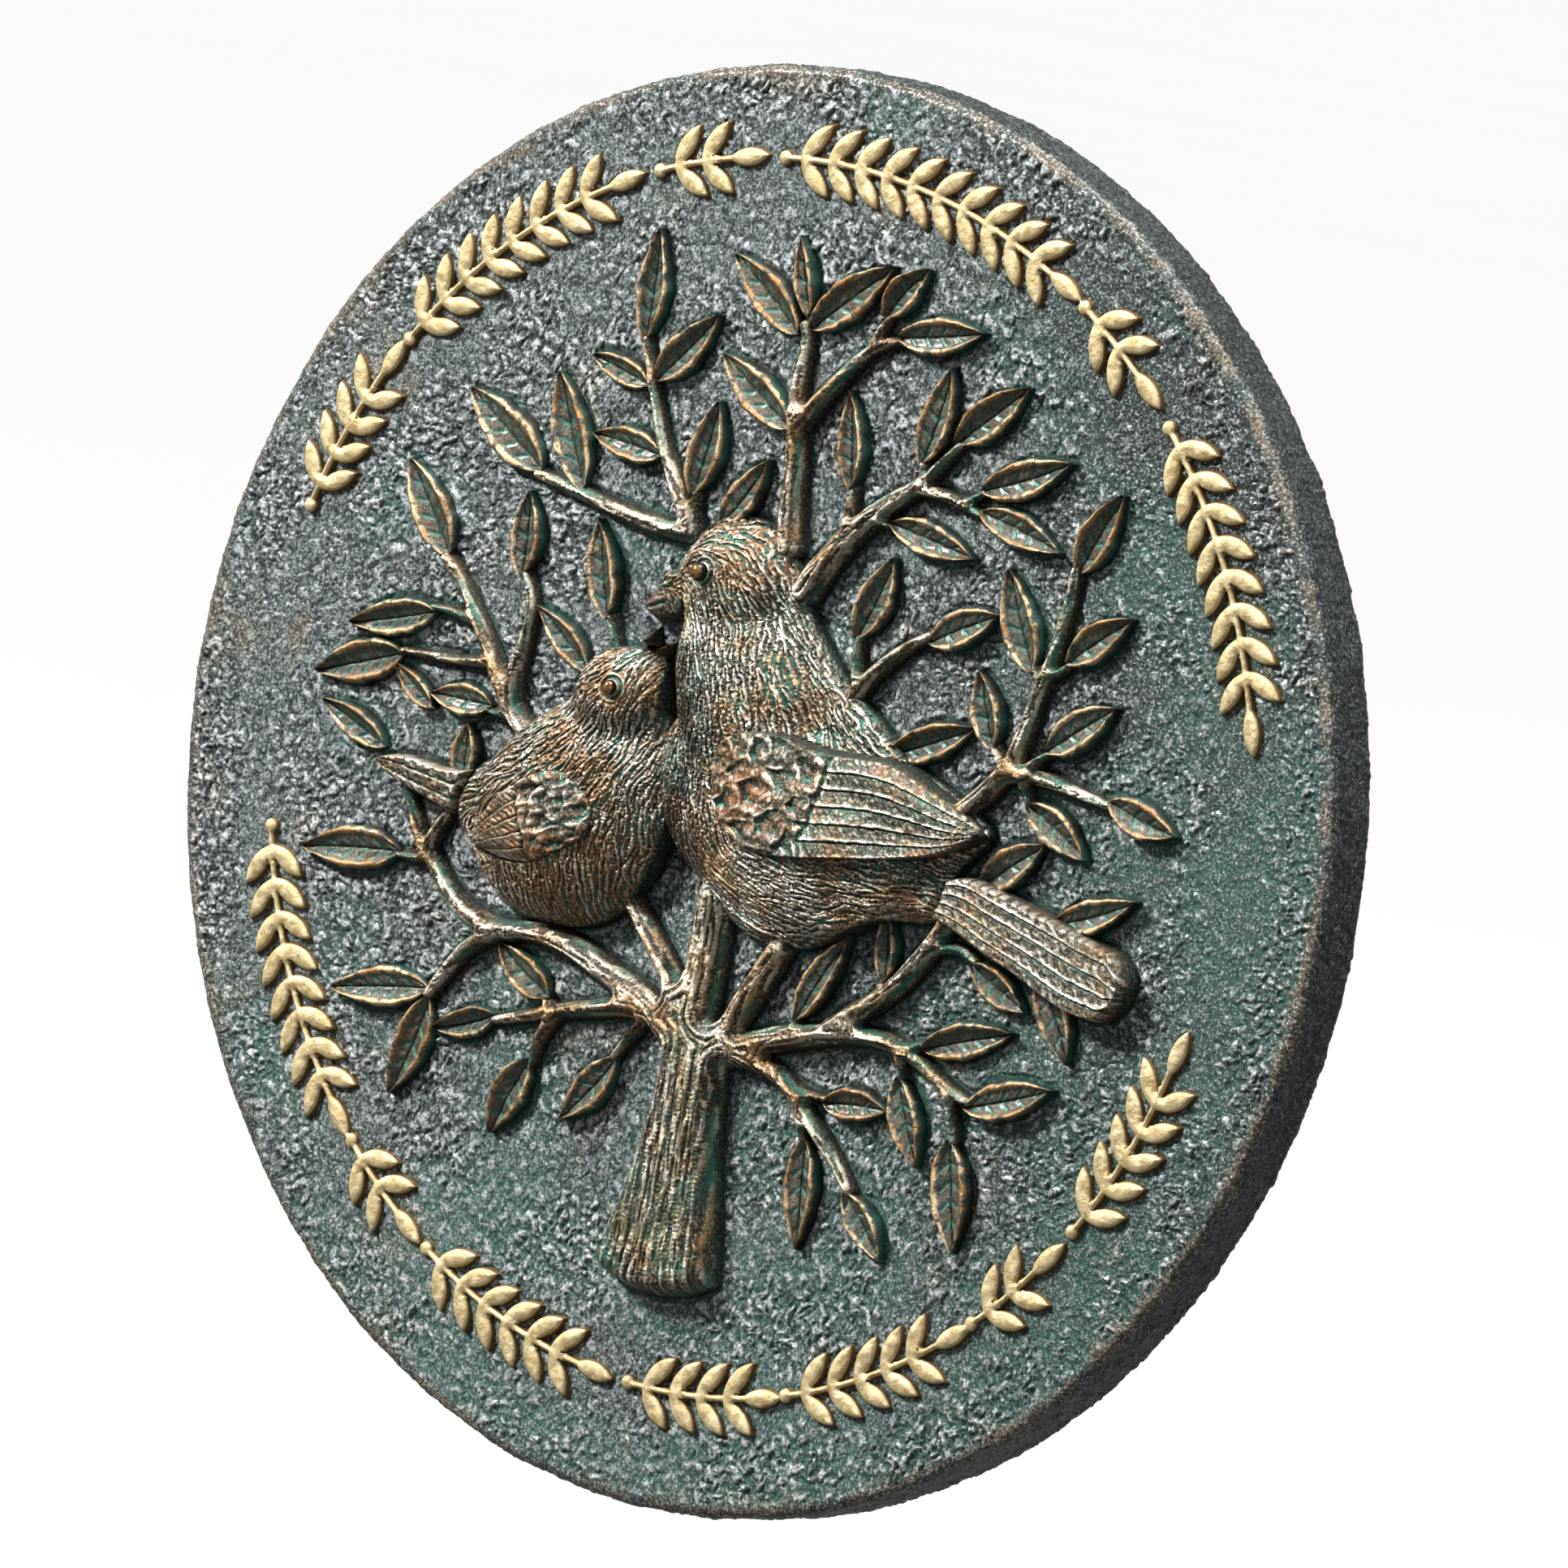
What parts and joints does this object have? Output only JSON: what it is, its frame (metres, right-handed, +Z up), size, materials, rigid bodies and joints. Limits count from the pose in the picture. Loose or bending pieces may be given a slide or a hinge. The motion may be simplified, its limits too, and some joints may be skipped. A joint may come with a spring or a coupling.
{
  "type": "garden wall plaque",
  "caption": "Round garden wall plaque with a raised tree, leaves and two songbirds, gilt laurel borders, and a keyhole hanger let into its flat back.",
  "frame": {"origin": "centre of the disc's flat back face, which lies on the wall plane", "axes": "+X to the viewer's right, +Y into the wall, +Z up; the decorated face looks along -Y"},
  "size_m": [0.254, 0.0244, 0.254],
  "materials": {
    "verdigris_stone": "cold-cast stone with a dark bronze and verdigris patina, silver-grey on the high points",
    "patina_leaf": "bronze patina with gold-brown edges and teal hollows",
    "bronzed_wood": "bark-like relief, gold-brown on the ridges and dark in the grooves",
    "bronzed_plumage": "feathered relief, pale bronze on the high points and dark in the strokes",
    "gilt": "matt pale gold paint on raised ornament",
    "hanger_steel": "zinc-plated steel"
  },
  "bodies": {
    "root": {"bough_left": "bronzed_wood", "bough_lower_left": "bronzed_wood", "bough_lower_right": "bronzed_wood", "bough_right": "bronzed_wood", "bough_upper_centre": "bronzed_wood", "bough_upper_left": "bronzed_wood", "bough_upper_right": "bronzed_wood", "broken_boughs": "bronzed_wood", "gilt_border_lower": "gilt", "gilt_border_upper": "gilt", "hanger_screws": "hanger_steel", "keyhole_hanger": "hanger_steel", "large_bird_beak": "bronzed_plumage", "large_bird_body": "bronzed_plumage", "large_bird_eye": "bronzed_plumage", "large_bird_tail": "bronzed_plumage", "large_bird_wing": "bronzed_plumage", "leaves_left": "patina_leaf", "leaves_lower_left": "patina_leaf", "leaves_lower_right": "patina_leaf", "leaves_right": "patina_leaf", "leaves_upper_centre": "patina_leaf", "leaves_upper_left": "patina_leaf", "leaves_upper_right": "patina_leaf", "plaque_disc": "verdigris_stone", "small_bird_beak": "bronzed_plumage", "small_bird_body": "bronzed_plumage", "small_bird_eye": "bronzed_plumage", "small_bird_tail": "bronzed_plumage", "small_bird_wing": "bronzed_plumage", "tree_trunk": "bronzed_wood", "twig_behind_wing": "bronzed_wood", "twig_by_beak": "bronzed_wood"}
  },
  "joints": []
}
